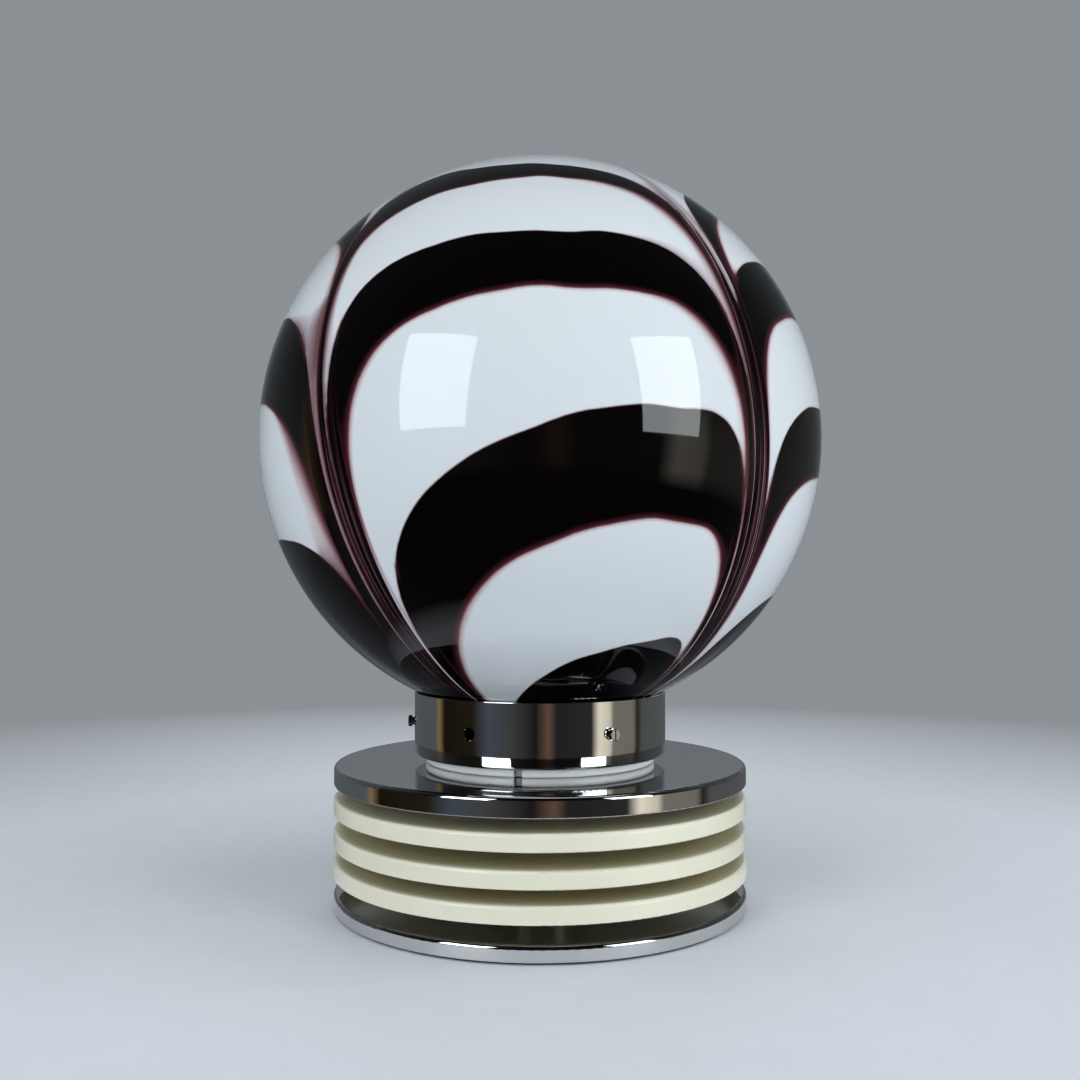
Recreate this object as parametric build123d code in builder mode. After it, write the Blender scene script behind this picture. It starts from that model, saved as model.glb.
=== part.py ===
from build123d import *
import os
from math import acos, cos, degrees, radians, sin, sqrt

# Glass table lamp. Millimetres, +Z up, origin on the table under the middle of the base.
# The front of the lamp faces -Y, and angles round it are counted from the front towards +X.

# Common fits
overrun = 1.0
thread_gap = 0.1
running_gap = 0.05
loose_gap = 0.3
seat_gap = 0.3

# Stack of discs, from the table up
disc_radius = 110.0
disc_sheet = 1.0
disc_height = 8.4
disc_bend = 0.5
plate_sheet = 1.2
plate_bend = 1.0
base_plate_height = 7.7
top_plate_height = 9.8
rim_round = 0.5
base_gap = 8.7
lower_gap = 7.2
middle_gap = 8.1
upper_gap = 6.7

# Felt and ballast in the base
felt_thickness = 2.4
felt_proud = 1.2
felt_margin = 0.4
ballast_margin = 1.5
ballast_bore_gap = 2.0

# Stem, its nuts and washers
stem_radius = 5.0
stem_bore = 3.5
nut_flat_radius = 7.5
base_nut_height = 2.8
base_washer_height = 1.0
top_nut_height = 4.0
top_washer_height = 1.2
washer_radius = 12.0
tag_thickness = 0.8
tag_radius = 9.0
tag_reach = 22.0
tag_width = 6.0
tag_hole = 1.7

# Spacer drums and the cable's way in
drum_radius = 24.0
drum_chamfer = 0.8
cable_bore = 2.75
bush_wall = 0.9
bush_flange_lip = 0.75
bush_flange_thickness = 1.5
bush_length = 7.5
bush_spot_depth = 3.0
bush_rise = 0.6

# White trim ring and the strip behind its joint
ring_inset = 6.1
ring_wall = 2.6
ring_height = 4.6
ring_round = 1.8
ring_slit = 4.2
ring_slit_angle = -10.2
splice_length = 16.0
splice_thickness = 0.8
splice_margin = 0.4

# Chrome collar
collar_gap = 8.5
collar_height = 33.0
collar_sheet = 1.2
collar_bend = 0.3
collar_taper = 0.5
collar_taper_height = 7.8
collar_taper_round = 110.0
collar_lip_round = 0.5
vent_radius = 3.0
vent_chamfer = 0.4
vent_angle = -31.3

# Globe
globe_radius = 150.0
glass_wall = 3.0
neck_radius = 58.0
neck_length = 25.4
neck_fillet = 5.0
neck_rim_round = 1.2
gasket_thickness = 2.5
gasket_overlap = 1.8

# Screws that hold the globe
screw_count = 3
screw_angle = 31.5
screw_radius = 2.0
screw_tip_radius = 1.5
screw_head_radius = 3.05
screw_head_height = 2.2
screw_head_stand = 1.3
screw_head_chamfer = 0.4
screw_slot_width = 0.9
screw_slot_depth = 0.9
pad_radius = 3.0
pad_length = 2.2
pad_floor = 1.0
screw_bush_radius = 4.0
screw_bush_length = 2.2

# Lampholder
holder_wall = 2.5
holder_boss_radius = 9.0
holder_boss_height = 7.0
holder_thread_depth = 9.0
holder_shoulder_height = 14.0
holder_cap_height = 19.4
holder_body_height = 37.0
holder_round = 1.0
core_flange_lip = 1.1
core_flange_height = 3.0
core_boss_height = 3.0
core_gap = 0.2
sleeve_inner = 13.5
sleeve_wall = 0.5
sleeve_gap = 3.0
sleeve_height = 22.0
contact_thickness = 0.8
contact_width = 6.0
contact_reach = 4.0
terminal_inset = 4.5
terminal_radius = 1.5
terminal_head_radius = 2.8
terminal_head_height = 2.0

# Bulb
bulb_contact_radius = 4.8
bulb_contact_height = 1.5
bulb_insulator_height = 4.0
bulb_insulator_seat = 1.0
bulb_cap_height = 20.0
bulb_cap_sheet = 0.5
bulb_cap_lip = 1.0
bulb_cap_rim = 3.2
bulb_neck_flare = 1.3
bulb_neck_length = 20.0
bulb_radius = 30.0
bulb_wall = 0.8
bulb_cone_angle = 40.0
bulb_neck_fillet = 15.0

# Heights that follow from the sizes above
base_top = felt_proud + base_plate_height
lower_disc_bottom = base_top + base_gap
lower_disc_top = lower_disc_bottom + disc_height
middle_disc_bottom = lower_disc_top + lower_gap
middle_disc_top = middle_disc_bottom + disc_height
upper_disc_bottom = middle_disc_top + middle_gap
upper_disc_top = upper_disc_bottom + disc_height
top_plate_bottom = upper_disc_top + upper_gap
top_plate_top = top_plate_bottom + top_plate_height
collar_bottom = top_plate_top + ring_height
collar_floor = collar_bottom + collar_sheet
collar_top = collar_bottom + collar_height
collar_taper_top = collar_bottom + collar_taper_height
collar_inner = neck_radius + collar_gap
collar_radius = collar_inner + collar_sheet
ring_radius = collar_radius - ring_inset
screw_height = collar_bottom + collar_height / 2
neck_bottom = collar_floor + gasket_thickness + seat_gap
globe_centre = neck_bottom + neck_length + sqrt(globe_radius**2 - neck_radius**2)
tag_bottom = collar_floor + top_washer_height
top_nut_bottom = tag_bottom + tag_thickness
holder_bottom = top_nut_bottom + top_nut_height
holder_cap_top = holder_bottom + holder_cap_height
holder_inner = sleeve_inner + sleeve_wall + sleeve_gap
holder_radius = holder_inner + holder_wall
terminal_offset = sleeve_inner - terminal_inset
core_flange_radius = holder_inner + core_flange_lip
core_top = holder_cap_top + core_flange_height + core_boss_height
bulb_cap_radius = sleeve_inner - loose_gap
bulb_cap_eye = bulb_cap_radius - bulb_cap_rim
bulb_neck_radius = bulb_cap_radius + bulb_neck_flare
bulb_bottom = core_top + contact_thickness + seat_gap
bulb_cap_bottom = bulb_bottom + bulb_contact_height + bulb_insulator_height
bulb_cap_top = bulb_cap_bottom + bulb_cap_height
stem_bottom = base_top - plate_sheet - base_washer_height - base_nut_height
stem_top = holder_bottom + holder_thread_depth
stem_hole = stem_radius + thread_gap
bush_radius = cable_bore + bush_wall
bush_flange = bush_radius + bush_flange_lip
cable_height = base_top + bush_flange + bush_rise

os.makedirs("parts", exist_ok=True)


def save(piece, name):
    """Name a finished piece and write it."""
    piece.part.label = name
    export_step(piece.part, f"parts/{name}.step")


def spoke(angle, height):
    """Plane across the radius at an angle from the front, its normal pointing outwards."""
    turn = radians(angle)
    return Plane(origin=(0, 0, height), x_dir=(0, 0, 1), z_dir=(sin(turn), -cos(turn), 0))


def ring(outer, inner, bottom, height):
    """Flat ring or tube round the lamp's axis."""
    with BuildPart() as tube:
        with BuildSketch(Plane.XY.offset(bottom)):
            Circle(outer)
            Circle(inner, mode=Mode.SUBTRACT)
        extrude(amount=height)
    return tube


def pressed_pan(bottom, height, sheet, bend):
    """Round pan pressed from sheet, open below, with a bent upper edge and a hole for the stem."""
    top = bottom + height
    skirt_inner = disc_radius - sheet
    with BuildPart() as pan:
        with BuildSketch(Plane.XZ) as section:
            with Locations((stem_hole, bottom)):
                Rectangle(disc_radius - stem_hole, height, align=Align.MIN)
                Rectangle(skirt_inner - stem_hole, height - sheet, align=Align.MIN, mode=Mode.SUBTRACT)
            fillet(section.vertices().sort_by_distance((disc_radius, top))[0], bend + sheet)
            fillet(section.vertices().sort_by_distance((skirt_inner, top - sheet))[0], bend)
            fillet(section.vertices().sort_by_distance((disc_radius, bottom))[0], rim_round)
        revolve(axis=Axis.Z)
    return pan


def spacer_drum(bottom, top):
    """Turned drum with a bore for the stem and chamfered outer edges."""
    drum = ring(drum_radius, stem_hole, bottom, top - bottom)
    with drum:
        outer_edges = drum.edges().filter_by(GeomType.CIRCLE).group_by(lambda edge: edge.radius)[-1]
        chamfer(outer_edges, drum_chamfer)
    return drum


def hexagon_nut(bottom, height):
    """Thin hexagon nut on the stem."""
    with BuildPart() as nut:
        with BuildSketch(Plane.XY.offset(bottom)):
            RegularPolygon(nut_flat_radius, 6, major_radius=False)
            Circle(stem_hole, mode=Mode.SUBTRACT)
        extrude(amount=height)
    return nut


# Felt disc glued into the base plate, standing a little proud of its edge
felt_radius = disc_radius - plate_sheet - felt_margin
with BuildPart() as base_felt:
    with BuildSketch(Plane.XY):
        Circle(felt_radius)
    extrude(amount=felt_thickness)
save(base_felt, "base_felt")

# Chrome pan that stands on the table
base_plate = pressed_pan(felt_proud, base_plate_height, plate_sheet, plate_bend)
save(base_plate, "base_plate")

# Steel ring that fills the base plate between the felt and the sheet
ballast_radius = disc_radius - plate_sheet - ballast_margin
ballast_height = base_top - plate_sheet - felt_thickness
ballast = ring(ballast_radius, washer_radius + ballast_bore_gap, felt_thickness, ballast_height)
save(ballast, "ballast")

# Washer and nut under the base plate
base_washer = ring(washer_radius, stem_hole, stem_bottom + base_nut_height, base_washer_height)
save(base_washer, "base_washer")
base_nut = hexagon_nut(stem_bottom, base_nut_height)
save(base_nut, "base_nut")

# Threaded tube through the whole stack, with a window at the back for the cable
with BuildPart() as stem:
    with BuildSketch(Plane.XY.offset(stem_bottom)):
        Circle(stem_radius)
        Circle(stem_bore, mode=Mode.SUBTRACT)
    extrude(amount=stem_top - stem_bottom)
    with BuildSketch(spoke(180, cable_height)):
        Circle(cable_bore)
    extrude(amount=stem_radius + overrun, mode=Mode.SUBTRACT)
save(stem, "stem")

# Three lacquered pans and the chrome pan above them
lower_disc = pressed_pan(lower_disc_bottom, disc_height, disc_sheet, disc_bend)
save(lower_disc, "lower_disc")
middle_disc = pressed_pan(middle_disc_bottom, disc_height, disc_sheet, disc_bend)
save(middle_disc, "middle_disc")
upper_disc = pressed_pan(upper_disc_bottom, disc_height, disc_sheet, disc_bend)
save(upper_disc, "upper_disc")
top_plate = pressed_pan(top_plate_bottom, top_plate_height, plate_sheet, plate_bend)
save(top_plate, "top_plate")

# Lowest drum: a bore at the back leads the cable into the stem, with a flat for the bush's flange
bush_seat = drum_radius - bush_spot_depth
with BuildPart() as base_spacer:
    add(spacer_drum(base_top, lower_disc_top - disc_sheet).part)
    with BuildSketch(spoke(180, cable_height)):
        Circle(bush_radius + running_gap)
    extrude(amount=drum_radius + overrun, mode=Mode.SUBTRACT)
    with BuildSketch(spoke(180, cable_height).offset(bush_seat)):
        Circle(bush_flange + running_gap)
    extrude(amount=bush_spot_depth + overrun, mode=Mode.SUBTRACT)
save(base_spacer, "base_spacer")

# Soft flanged bush for the cable
bush_flange_end = bush_seat + bush_flange_thickness
with BuildPart() as cable_bush:
    with BuildSketch(spoke(180, cable_height).offset(bush_flange_end - bush_length)):
        Circle(bush_radius)
    extrude(amount=bush_length)
    with BuildSketch(spoke(180, cable_height).offset(bush_seat)):
        Circle(bush_flange)
    extrude(amount=bush_flange_thickness)
    with BuildSketch(spoke(180, cable_height)):
        Circle(cable_bore)
    extrude(amount=bush_flange_end + overrun, mode=Mode.SUBTRACT)
save(cable_bush, "cable_bush")

# The other drums of the stack
lower_spacer = spacer_drum(lower_disc_top, middle_disc_top - disc_sheet)
save(lower_spacer, "lower_spacer")
middle_spacer = spacer_drum(middle_disc_top, upper_disc_top - disc_sheet)
save(middle_spacer, "middle_spacer")
upper_spacer = spacer_drum(upper_disc_top, top_plate_top - plate_sheet)
save(upper_spacer, "upper_spacer")
collar_spacer = spacer_drum(top_plate_top, collar_bottom)
save(collar_spacer, "collar_spacer")

# White ring under the collar, bent from rounded strip with a gap between its ends
with BuildPart() as trim_ring:
    add(ring(ring_radius, ring_radius - ring_wall, top_plate_top, ring_height).part)
    ring_edges = trim_ring.edges().filter_by(GeomType.CIRCLE).group_by(lambda edge: edge.radius)[-1]
    fillet(ring_edges, ring_round)
    with BuildSketch(spoke(ring_slit_angle, top_plate_top + ring_height / 2)):
        Rectangle(ring_height + overrun, ring_slit)
    extrude(amount=ring_radius + overrun, mode=Mode.SUBTRACT)
save(trim_ring, "trim_ring")

# Thin strip inside the ring that bridges the gap
splice_outer = ring_radius - ring_wall - running_gap
splice_inner = splice_outer - splice_thickness
splice_bottom = top_plate_top + splice_margin
splice_height = ring_height - 2 * splice_margin
with BuildPart() as ring_splice:
    add(ring(splice_outer, splice_inner, splice_bottom, splice_height).part)
    with BuildSketch(spoke(ring_slit_angle, top_plate_top + ring_height / 2)):
        Rectangle(ring_height, splice_length)
    extrude(amount=ring_radius, mode=Mode.INTERSECT)
save(ring_splice, "ring_splice")

# Chrome cup for the globe's neck, drawn in a little above its floor, with a round lip, screw holes and vents
collar_foot = collar_radius - collar_taper
collar_foot_inner = collar_inner - collar_taper
with BuildPart() as collar:
    with BuildSketch(Plane.XZ) as section:
        with BuildLine():
            outer_side = [(stem_hole, collar_bottom), (collar_foot, collar_bottom),
                          (collar_radius, collar_taper_top), (collar_radius, collar_top)]
            inner_side = [(collar_inner, collar_top), (collar_inner, collar_taper_top),
                          (collar_foot_inner, collar_floor), (stem_hole, collar_floor)]
            Polyline(*outer_side, *inner_side, close=True)
        make_face()
        outer_corner = section.vertices().sort_by_distance((collar_foot, collar_bottom))[0]
        fillet(outer_corner, collar_bend + collar_sheet)
        inner_corner = section.vertices().sort_by_distance((collar_foot_inner, collar_floor))[0]
        fillet(inner_corner, collar_bend)
        fillet(section.vertices().sort_by_distance((collar_radius, collar_taper_top))[0], collar_taper_round)
        fillet(section.vertices().sort_by_distance((collar_inner, collar_taper_top))[0], collar_taper_round)
        fillet(section.vertices().group_by(Axis.Y)[-1], collar_lip_round)
    revolve(axis=Axis.Z)
    for turn in range(screw_count):
        step = 360 * turn / screw_count
        with BuildSketch(spoke(screw_angle + step, screw_height)):
            Circle(screw_radius + loose_gap)
        extrude(amount=collar_radius + overrun, mode=Mode.SUBTRACT)
        with BuildSketch(spoke(vent_angle + step, screw_height)):
            Circle(vent_radius)
        extrude(amount=collar_radius + overrun, mode=Mode.SUBTRACT)
        with BuildSketch(spoke(vent_angle + step, screw_height).offset(collar_radius - vent_chamfer)):
            Circle(vent_radius)
        extrude(amount=vent_chamfer + overrun, taper=-45, mode=Mode.SUBTRACT)
save(collar, "collar")

# Threaded bushes fixed to the inside of the collar behind the screw holes
screw_bush_end = sqrt(collar_inner**2 - screw_bush_radius**2) - running_gap
screw_bush_start = screw_bush_end - screw_bush_length
with BuildPart() as screw_bushes:
    for turn in range(screw_count):
        across = spoke(screw_angle + 360 * turn / screw_count, screw_height)
        with BuildSketch(across.offset(screw_bush_start)):
            Circle(screw_bush_radius)
            Circle(screw_radius + running_gap, mode=Mode.SUBTRACT)
        extrude(amount=screw_bush_length)
save(screw_bushes, "screw_bushes")

# Soft ring on the collar's floor under the neck
gasket_outer = neck_radius + gasket_overlap
gasket_inner = neck_radius - glass_wall - gasket_overlap
neck_gasket = ring(gasket_outer, gasket_inner, collar_floor, gasket_thickness)
save(neck_gasket, "neck_gasket")

# Blown globe with a straight neck: outer and inner wall in one section, turned round the axis
glass_inner = globe_radius - glass_wall
neck_inner = neck_radius - glass_wall
outer_angle = degrees(acos(neck_radius / globe_radius))
inner_angle = degrees(acos(neck_inner / glass_inner))
with BuildPart() as globe:
    with BuildSketch(Plane.XZ) as section:
        with BuildLine():
            outer = CenterArc((0, globe_centre), globe_radius, -outer_angle, outer_angle + 90)
            inner = CenterArc((0, globe_centre), glass_inner, -inner_angle, inner_angle + 90)
            Polyline(outer @ 0, (neck_radius, neck_bottom), (neck_inner, neck_bottom), inner @ 0)
            Line(outer @ 1, inner @ 1)
        make_face()
        fillet(section.vertices().sort_by_distance(outer @ 0)[0], neck_fillet)
        fillet(section.vertices().sort_by_distance(inner @ 0)[0], neck_fillet + glass_wall)
        fillet(section.vertices().group_by(Axis.Y)[0], neck_rim_round)
    revolve(axis=Axis.Z)
save(globe, "globe")

# Three screws with their soft caps; the caps follow the screws in and out without turning
pad_start = neck_radius + seat_gap
pad_end = pad_start + pad_length
screw_tip = pad_start + pad_floor + thread_gap
head_start = collar_radius + screw_head_stand
head_end = head_start + screw_head_height
for turn in range(screw_count):
    across = spoke(screw_angle + 360 * turn / screw_count, screw_height)
    with BuildPart() as globe_screw:
        with BuildSketch(across.offset(screw_tip)):
            Circle(screw_tip_radius)
        extrude(amount=pad_end + thread_gap - screw_tip)
        with BuildSketch(across.offset(pad_end + thread_gap)):
            Circle(screw_radius)
        extrude(amount=head_start - pad_end - thread_gap)
        with BuildSketch(across.offset(head_start)):
            Circle(screw_head_radius)
        extrude(amount=screw_head_height)
        head_edges = globe_screw.edges().filter_by(GeomType.CIRCLE).group_by(lambda edge: edge.radius)[-1]
        chamfer(head_edges, screw_head_chamfer)
        with BuildSketch(across.offset(head_end)):
            Rectangle(2 * (screw_head_radius + overrun), screw_slot_width)
        extrude(amount=-screw_slot_depth, mode=Mode.SUBTRACT)
    save(globe_screw, f"globe_screw_{turn + 1}")
    with BuildPart() as screw_pad:
        with BuildSketch(across.offset(pad_start)):
            Circle(pad_radius)
        extrude(amount=pad_length)
        with BuildSketch(across.offset(pad_start + pad_floor)):
            Circle(screw_tip_radius + running_gap)
        extrude(amount=pad_length, mode=Mode.SUBTRACT)
    save(screw_pad, f"screw_pad_{turn + 1}")

# Washer, earth tag and nut that clamp the collar and the stack
top_washer = ring(washer_radius, stem_hole, collar_floor, top_washer_height)
save(top_washer, "top_washer")
with BuildPart() as earth_tag:
    with BuildSketch(Plane.XY.offset(tag_bottom)):
        Circle(tag_radius)
        Rectangle(tag_width, tag_reach, align=(Align.CENTER, Align.MIN))
        Circle(stem_hole, mode=Mode.SUBTRACT)
        with Locations((0, tag_reach - tag_width / 2)):
            Circle(tag_hole, mode=Mode.SUBTRACT)
    extrude(amount=tag_thickness)
save(earth_tag, "earth_tag")
top_nut = hexagon_nut(top_nut_bottom, top_nut_height)
save(top_nut, "top_nut")

# Lampholder's lower cap, screwed on the stem
shoulder = holder_bottom + holder_shoulder_height
boss_top = holder_bottom + holder_thread_depth + holder_wall
with BuildPart() as holder_cap:
    with BuildSketch(Plane.XZ) as section:
        with BuildLine():
            Polyline(
                (stem_hole, holder_bottom),
                (holder_boss_radius, holder_bottom),
                (holder_boss_radius, holder_bottom + holder_boss_height),
                (holder_radius, shoulder),
                (holder_radius, holder_cap_top),
                (holder_inner, holder_cap_top),
                (holder_inner, shoulder + holder_wall / 2),
                (stem_hole, boss_top),
                close=True,
            )
        make_face()
        fillet(section.vertices().sort_by_distance((holder_radius, shoulder))[0], holder_round)
    revolve(axis=Axis.Z)
save(holder_cap, "holder_cap")

# Insulating core: its flange is held between the cap and the body
flange_top = holder_cap_top + core_flange_height
with BuildPart() as holder_core:
    with BuildSketch(Plane.XY.offset(holder_cap_top)):
        Circle(core_flange_radius)
    extrude(amount=core_flange_height)
    with BuildSketch(Plane.XY.offset(flange_top)):
        Circle(sleeve_inner - loose_gap)
    extrude(amount=core_boss_height)
    with BuildSketch(Plane.XY.offset(holder_cap_top)):
        with Locations((-terminal_offset, 0), (terminal_offset, 0)):
            Circle(terminal_radius + running_gap)
    extrude(amount=core_top - holder_cap_top, mode=Mode.SUBTRACT)
save(holder_core, "holder_core")

# Outer body of the lampholder, stepped inside over the core's flange
with BuildPart() as holder_body:
    with BuildSketch(Plane.XZ) as section:
        with Locations((holder_inner, holder_cap_top)):
            Rectangle(holder_wall, holder_body_height, align=Align.MIN)
            Rectangle(
                core_flange_radius + core_gap - holder_inner,
                core_flange_height,
                align=Align.MIN,
                mode=Mode.SUBTRACT,
            )
        fillet(section.vertices().group_by(Axis.Y)[-1], holder_round)
    revolve(axis=Axis.Z)
save(holder_body, "holder_body")

# Metal sleeve for the bulb's cap, centre contact and the two terminal screws
holder_sleeve = ring(sleeve_inner + sleeve_wall, sleeve_inner, flange_top, sleeve_height)
save(holder_sleeve, "holder_sleeve")
with BuildPart() as holder_contact:
    with BuildSketch(Plane.XY.offset(core_top)):
        with Locations((-contact_reach, 0)):
            strip_length = contact_reach + terminal_offset + terminal_radius
            Rectangle(strip_length, contact_width, align=(Align.MIN, Align.CENTER))
    extrude(amount=contact_thickness)
save(holder_contact, "holder_contact")
with BuildPart() as terminal_screws:
    with BuildSketch(Plane.XY.offset(holder_cap_top - terminal_head_height)):
        with Locations((-terminal_offset, 0), (terminal_offset, 0)):
            Circle(terminal_head_radius)
    extrude(amount=terminal_head_height)
    with BuildSketch(Plane.XY.offset(holder_cap_top)):
        with Locations((-terminal_offset, 0), (terminal_offset, 0)):
            Circle(terminal_radius)
    extrude(amount=core_top - holder_cap_top)
save(terminal_screws, "terminal_screws")

# Bulb: end contact, insulator, metal cap and glass
with BuildPart() as bulb_contact:
    with BuildSketch(Plane.XY.offset(bulb_bottom)):
        Circle(bulb_contact_radius)
    extrude(amount=bulb_contact_height)
    fillet(bulb_contact.edges().group_by(Axis.Z)[0], bulb_contact_height / 2)
save(bulb_contact, "bulb_contact")
with BuildPart() as bulb_insulator:
    with BuildSketch(Plane.XY.offset(bulb_bottom + bulb_contact_height)):
        Circle(bulb_contact_radius)
    with BuildSketch(Plane.XY.offset(bulb_cap_bottom)):
        Circle(bulb_cap_eye + bulb_insulator_seat)
    loft()
save(bulb_insulator, "bulb_insulator")
bulb_cap_inner = bulb_cap_radius - bulb_cap_sheet
with BuildPart() as bulb_cap:
    with BuildSketch(Plane.XZ):
        with BuildLine():
            Polyline(
                (bulb_cap_eye, bulb_cap_bottom),
                (bulb_cap_radius, bulb_cap_bottom),
                (bulb_cap_radius, bulb_cap_top - bulb_cap_lip),
                (bulb_neck_radius, bulb_cap_top - bulb_cap_lip),
                (bulb_neck_radius, bulb_cap_top),
                (bulb_cap_inner, bulb_cap_top),
                (bulb_cap_inner, bulb_cap_bottom + bulb_cap_sheet),
                (bulb_cap_eye, bulb_cap_bottom + bulb_cap_sheet),
                close=True,
            )
        make_face()
    revolve(axis=Axis.Z)
save(bulb_cap, "bulb_cap")
cone_turn = radians(bulb_cone_angle)
cone_start = bulb_radius * cos(cone_turn)
cone_drop = bulb_radius * sin(cone_turn) + (cone_start - bulb_neck_radius) * cos(cone_turn) / sin(cone_turn)
bulb_centre = bulb_cap_top + bulb_neck_length + cone_drop
with BuildPart() as bulb_glass:
    with BuildSketch(Plane.XZ) as section:
        with BuildLine():
            crown = CenterArc((0, bulb_centre), bulb_radius, -bulb_cone_angle, bulb_cone_angle + 90)
            Polyline(
                crown @ 0,
                (bulb_neck_radius, bulb_centre - cone_drop),
                (bulb_neck_radius, bulb_cap_top),
                (0, bulb_cap_top),
                crown @ 1,
            )
        make_face()
        waist = section.vertices().sort_by_distance((bulb_neck_radius, bulb_centre - cone_drop))[0]
        fillet(waist, bulb_neck_fillet)
    revolve(axis=Axis.Z)
    offset(amount=-bulb_wall, openings=bulb_glass.faces().sort_by(Axis.Z)[0])
save(bulb_glass, "bulb_glass")
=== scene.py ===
from math import pi, radians

import bpy
import numpy as np
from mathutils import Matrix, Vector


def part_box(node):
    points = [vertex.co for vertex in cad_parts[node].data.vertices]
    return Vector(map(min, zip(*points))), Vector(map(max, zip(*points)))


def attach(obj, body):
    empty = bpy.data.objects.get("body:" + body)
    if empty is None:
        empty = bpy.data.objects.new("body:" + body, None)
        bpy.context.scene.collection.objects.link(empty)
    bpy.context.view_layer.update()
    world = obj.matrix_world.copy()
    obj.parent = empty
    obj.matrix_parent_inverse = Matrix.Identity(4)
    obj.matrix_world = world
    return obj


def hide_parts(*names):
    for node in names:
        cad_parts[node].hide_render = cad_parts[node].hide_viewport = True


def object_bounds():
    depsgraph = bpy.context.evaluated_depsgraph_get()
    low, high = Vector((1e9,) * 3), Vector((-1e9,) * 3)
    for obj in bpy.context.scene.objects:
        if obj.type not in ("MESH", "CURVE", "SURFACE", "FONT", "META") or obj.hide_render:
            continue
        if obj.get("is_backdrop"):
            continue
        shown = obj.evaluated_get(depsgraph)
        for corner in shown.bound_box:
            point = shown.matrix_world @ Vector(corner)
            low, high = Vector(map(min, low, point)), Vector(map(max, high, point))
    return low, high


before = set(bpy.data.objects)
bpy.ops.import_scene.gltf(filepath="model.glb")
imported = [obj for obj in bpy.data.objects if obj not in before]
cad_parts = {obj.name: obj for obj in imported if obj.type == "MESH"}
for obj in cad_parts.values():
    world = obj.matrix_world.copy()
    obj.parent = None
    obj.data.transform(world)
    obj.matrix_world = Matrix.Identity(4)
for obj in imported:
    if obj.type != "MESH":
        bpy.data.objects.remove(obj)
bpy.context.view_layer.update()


# Felt pad. A disc of dark wool felt, glued into the base plate so that the lamp doesn't mark the table.
# Its cut edge is a little uneven and its face is fluffy.
felt_low, felt_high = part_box("base_felt")
felt_unevenness = 0.00025
felt_waves = (17, 29)
felt_wave_shift = 1
felt_edge_round = 0.0004
felt_edge_rows = 6
felt_face_rows = 10
felt_columns = 144
fluff_size = 0.0011
fluff_detail = 5.0
fluff_depth = 0.0006
noise_roughness = 0.6
felt_colours = [(0.3, (0.012, 0.016, 0.014)), (0.7, (0.05, 0.06, 0.055))]


def round_axis(reach, angle, height):
    """Points at a distance from the lamp's axis, at an angle from the front to the right and at a height."""
    return np.stack((reach * np.sin(angle), -reach * np.cos(angle), height + 0 * angle), axis=-1)


def grid_faces(rows, columns, round_rows):
    """Four-sided faces of a grid of points, numbered row by row. Each row is a ring. Round rows join the last
    ring to the first."""
    row, column = np.meshgrid(np.arange(rows if round_rows else rows - 1), np.arange(columns), indexing="ij")
    next_row, next_column = (row + 1) % rows, (column + 1) % columns
    corners = (row * columns + column, row * columns + next_column,
               next_row * columns + next_column, next_row * columns + column)
    return np.stack(corners, axis=-1).reshape(-1, 4)


def pole_faces(first, pole, columns, upward):
    """Triangles from one ring of points, which starts at number first, to the single point of a pole."""
    here = first + np.arange(columns)
    there = first + (np.arange(columns) + 1) % columns
    top = np.full(columns, pole)
    return np.stack((here, there, top) if upward else (there, here, top), axis=-1)


def close_poles(rings, first_height, last_height):
    """Points and faces of a stack of rings. One point on the axis closes the first ring, one the last."""
    rows, columns = rings.shape[:2]
    poles = np.array([(0, 0, first_height), (0, 0, last_height)])
    points = np.concatenate((rings.reshape(-1, 3), poles))
    last = (rows - 1) * columns
    faces = [grid_faces(rows, columns, False), pole_faces(0, rows * columns, columns, False),
             pole_faces(last, rows * columns + 1, columns, True)]
    return points, faces


def put_piece(name, points, faces, body, slot, material, *nodes):
    """Make the mesh of a piece, let it ride on a body and stand for its CAD nodes."""
    mesh = bpy.data.meshes.new(name)
    mesh.from_pydata(points.reshape(-1, 3).tolist(), [], [face for kind in faces for face in kind.tolist()])
    mesh.polygons.foreach_set("use_smooth", np.ones(len(mesh.polygons), bool))
    mesh.materials.append(material)
    piece = bpy.data.objects.new(name, mesh)
    bpy.context.scene.collection.objects.link(piece)
    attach(piece, body)
    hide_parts(*nodes)
    return piece


def place(tree, kind, inputs=None, **settings):
    """Add one shader node. Its inputs are values, or sockets that it is linked to."""
    node = tree.nodes.new(kind)
    for key, value in settings.items():
        setattr(node, key, value)
    for key, value in (inputs or {}).items():
        if isinstance(value, bpy.types.NodeSocket):
            tree.links.new(value, node.inputs[key])
        else:
            node.inputs[key].default_value = value
    return node


def colour_steps(tree, factor, steps):
    """Colour ramp through steps of (position, colour)."""
    node = place(tree, "ShaderNodeValToRGB", {"Fac": factor})
    for position, _ in steps[2:]:
        node.color_ramp.elements.new(position)
    for element, (position, colour) in zip(node.color_ramp.elements, steps):
        element.position = position
        element.color = (*colour, 1)
    return node.outputs["Color"]


def tint(tree, shader, factor, steps):
    """Colour a shader by a ramp."""
    tree.links.new(colour_steps(tree, factor, steps), shader.inputs["Base Color"])


def speckle(tree, where, size, detail=4.0):
    """Noise with features of a given size, in metres."""
    node = place(tree, "ShaderNodeTexNoise",
                 {"Vector": where, "Scale": 1 / size, "Detail": detail, "Roughness": noise_roughness})
    return node.outputs["Fac"]


def finish(name, **values):
    """New material with its plain shader values set. Returns it, its nodes, shader and the place shaded."""
    material = bpy.data.materials.new(name)
    material.use_nodes = True
    tree = material.node_tree
    shader = tree.nodes["Principled BSDF"]
    for key, value in values.items():
        shader.inputs[key.replace("_", " ").title()].default_value = value
    return material, tree, shader, place(tree, "ShaderNodeTexCoord").outputs["Object"]


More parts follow.
